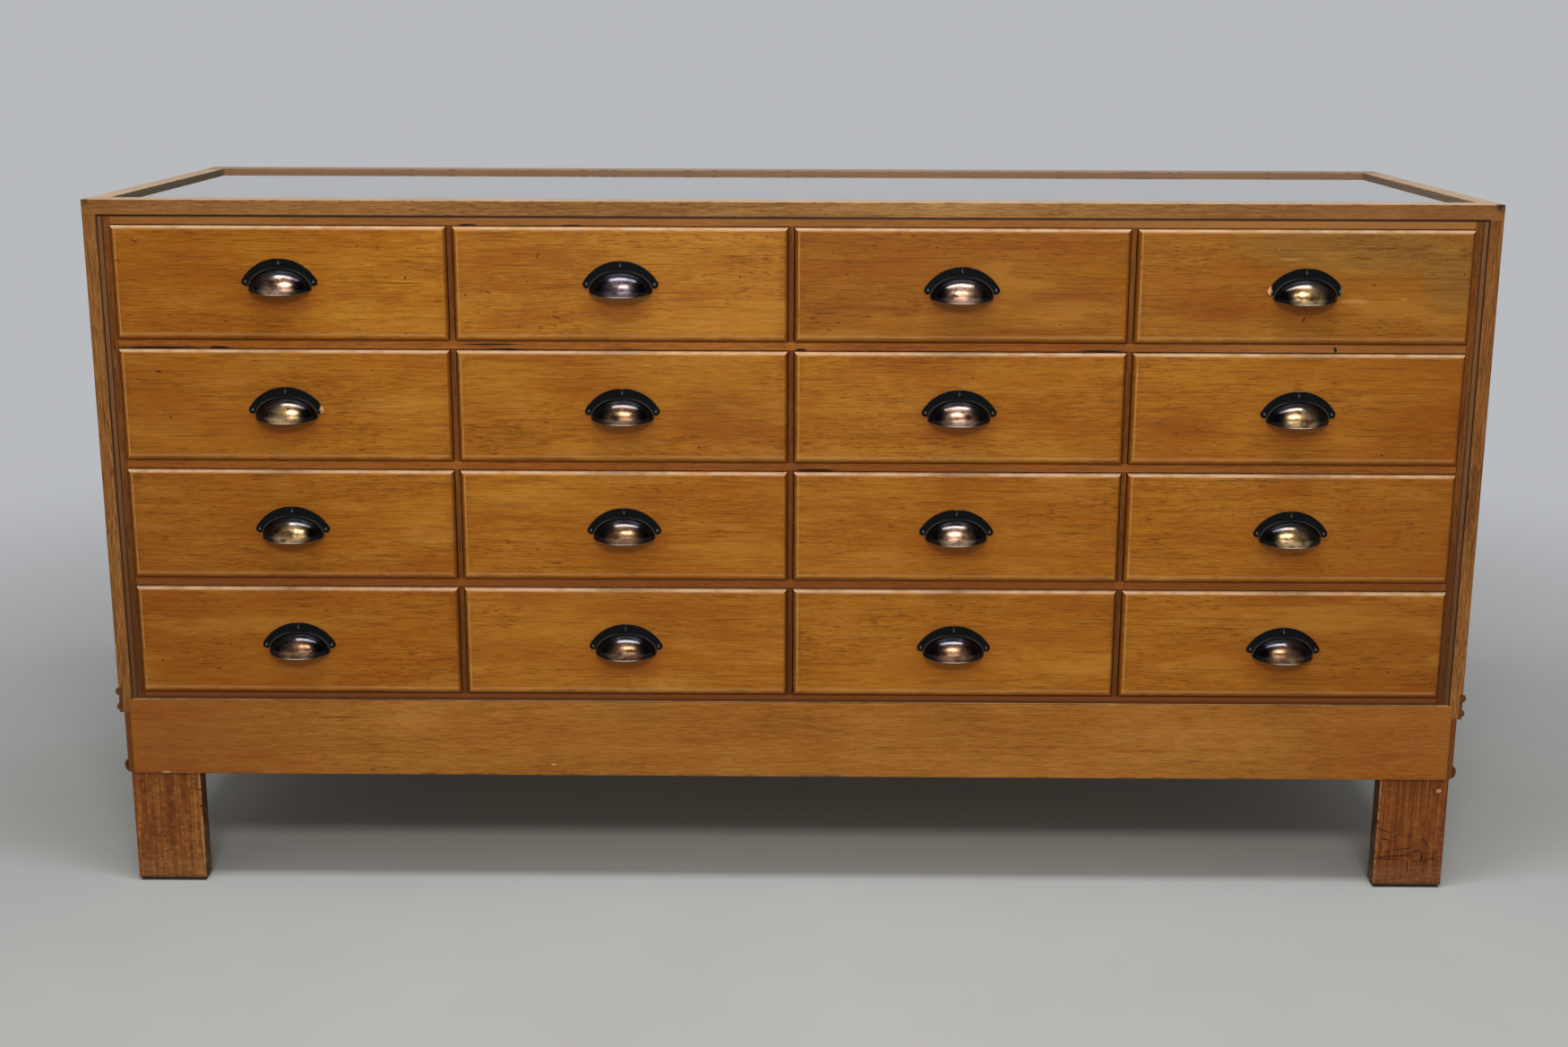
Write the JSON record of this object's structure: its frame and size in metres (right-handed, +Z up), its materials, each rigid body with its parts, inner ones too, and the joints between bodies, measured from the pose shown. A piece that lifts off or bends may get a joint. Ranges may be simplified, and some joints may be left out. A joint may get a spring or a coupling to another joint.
{
  "type": "haberdashery cabinet",
  "caption": "Free-standing wooden shop counter with a grid of cup-handled drawers under a mitred, glazed top, on a plinth with corner legs.",
  "frame": {"origin": "on the floor, under the middle of the whole piece with its handles", "axes": "+X along the front, to the right of someone who faces the drawers; +Y from the front to the back; +Z up. The drawers open towards -Y."},
  "size_m": [1.7944, 0.635, 0.9205],
  "materials": {
    "front_wood": "honey-coloured varnish, satin",
    "case_wood": "brown oak, worn varnish",
    "rail_wood": "red-brown varnish",
    "drawer_wood": "bare, planed",
    "inner_wood": "bare, sawn",
    "back_ply": "plywood, thin stain",
    "bronze": "darkened, rubbed to copper where it is held",
    "glass": "clear float glass",
    "glide": "black, matte"
  },
  "bodies": {
    "case": {"top_frame": "case_wood", "glass_top": "glass", "side_panels": "case_wood", "uprights": "rail_wood", "front_rails": "rail_wood", "drawer_runners": "inner_wood", "back_panel": "back_ply", "bottom_board": "inner_wood", "plinth": "front_wood", "legs": "case_wood", "side_mouldings": "case_wood", "foot_glides": "glide"},
    "drawer_r1c1": {"drawer_r1c1_front": "front_wood", "drawer_r1c1_box": "drawer_wood", "drawer_r1c1_handle": "bronze"},
    "drawer_r1c2": {"drawer_r1c2_front": "front_wood", "drawer_r1c2_box": "drawer_wood", "drawer_r1c2_handle": "bronze"},
    "drawer_r1c3": {"drawer_r1c3_front": "front_wood", "drawer_r1c3_box": "drawer_wood", "drawer_r1c3_handle": "bronze"},
    "drawer_r1c4": {"drawer_r1c4_front": "front_wood", "drawer_r1c4_box": "drawer_wood", "drawer_r1c4_handle": "bronze"},
    "drawer_r2c1": {"drawer_r2c1_front": "front_wood", "drawer_r2c1_box": "drawer_wood", "drawer_r2c1_handle": "bronze"},
    "drawer_r2c2": {"drawer_r2c2_front": "front_wood", "drawer_r2c2_box": "drawer_wood", "drawer_r2c2_handle": "bronze"},
    "drawer_r2c3": {"drawer_r2c3_front": "front_wood", "drawer_r2c3_box": "drawer_wood", "drawer_r2c3_handle": "bronze"},
    "drawer_r2c4": {"drawer_r2c4_front": "front_wood", "drawer_r2c4_box": "drawer_wood", "drawer_r2c4_handle": "bronze"},
    "drawer_r3c1": {"drawer_r3c1_front": "front_wood", "drawer_r3c1_box": "drawer_wood", "drawer_r3c1_handle": "bronze"},
    "drawer_r3c2": {"drawer_r3c2_front": "front_wood", "drawer_r3c2_box": "drawer_wood", "drawer_r3c2_handle": "bronze"},
    "drawer_r3c3": {"drawer_r3c3_front": "front_wood", "drawer_r3c3_box": "drawer_wood", "drawer_r3c3_handle": "bronze"},
    "drawer_r3c4": {"drawer_r3c4_front": "front_wood", "drawer_r3c4_box": "drawer_wood", "drawer_r3c4_handle": "bronze"},
    "drawer_r4c1": {"drawer_r4c1_front": "front_wood", "drawer_r4c1_box": "drawer_wood", "drawer_r4c1_handle": "bronze"},
    "drawer_r4c2": {"drawer_r4c2_front": "front_wood", "drawer_r4c2_box": "drawer_wood", "drawer_r4c2_handle": "bronze"},
    "drawer_r4c3": {"drawer_r4c3_front": "front_wood", "drawer_r4c3_box": "drawer_wood", "drawer_r4c3_handle": "bronze"},
    "drawer_r4c4": {"drawer_r4c4_front": "front_wood", "drawer_r4c4_box": "drawer_wood", "drawer_r4c4_handle": "bronze"}
  },
  "joints": [
    {"name": "slide_r1c1", "type": "slide", "parent": "case", "child": "drawer_r1c1", "axis": [0, -1, 0], "range_m": [0, 0.42]},
    {"name": "slide_r1c2", "type": "slide", "parent": "case", "child": "drawer_r1c2", "axis": [0, -1, 0], "range_m": [0, 0.42]},
    {"name": "slide_r1c3", "type": "slide", "parent": "case", "child": "drawer_r1c3", "axis": [0, -1, 0], "range_m": [0, 0.42]},
    {"name": "slide_r1c4", "type": "slide", "parent": "case", "child": "drawer_r1c4", "axis": [0, -1, 0], "range_m": [0, 0.42]},
    {"name": "slide_r2c1", "type": "slide", "parent": "case", "child": "drawer_r2c1", "axis": [0, -1, 0], "range_m": [0, 0.42]},
    {"name": "slide_r2c2", "type": "slide", "parent": "case", "child": "drawer_r2c2", "axis": [0, -1, 0], "range_m": [0, 0.42]},
    {"name": "slide_r2c3", "type": "slide", "parent": "case", "child": "drawer_r2c3", "axis": [0, -1, 0], "range_m": [0, 0.42]},
    {"name": "slide_r2c4", "type": "slide", "parent": "case", "child": "drawer_r2c4", "axis": [0, -1, 0], "range_m": [0, 0.42]},
    {"name": "slide_r3c1", "type": "slide", "parent": "case", "child": "drawer_r3c1", "axis": [0, -1, 0], "range_m": [0, 0.42]},
    {"name": "slide_r3c2", "type": "slide", "parent": "case", "child": "drawer_r3c2", "axis": [0, -1, 0], "range_m": [0, 0.42]},
    {"name": "slide_r3c3", "type": "slide", "parent": "case", "child": "drawer_r3c3", "axis": [0, -1, 0], "range_m": [0, 0.42]},
    {"name": "slide_r3c4", "type": "slide", "parent": "case", "child": "drawer_r3c4", "axis": [0, -1, 0], "range_m": [0, 0.42]},
    {"name": "slide_r4c1", "type": "slide", "parent": "case", "child": "drawer_r4c1", "axis": [0, -1, 0], "range_m": [0, 0.42]},
    {"name": "slide_r4c2", "type": "slide", "parent": "case", "child": "drawer_r4c2", "axis": [0, -1, 0], "range_m": [0, 0.42]},
    {"name": "slide_r4c3", "type": "slide", "parent": "case", "child": "drawer_r4c3", "axis": [0, -1, 0], "range_m": [0, 0.42]},
    {"name": "slide_r4c4", "type": "slide", "parent": "case", "child": "drawer_r4c4", "axis": [0, -1, 0], "range_m": [0, 0.42]}
  ]
}
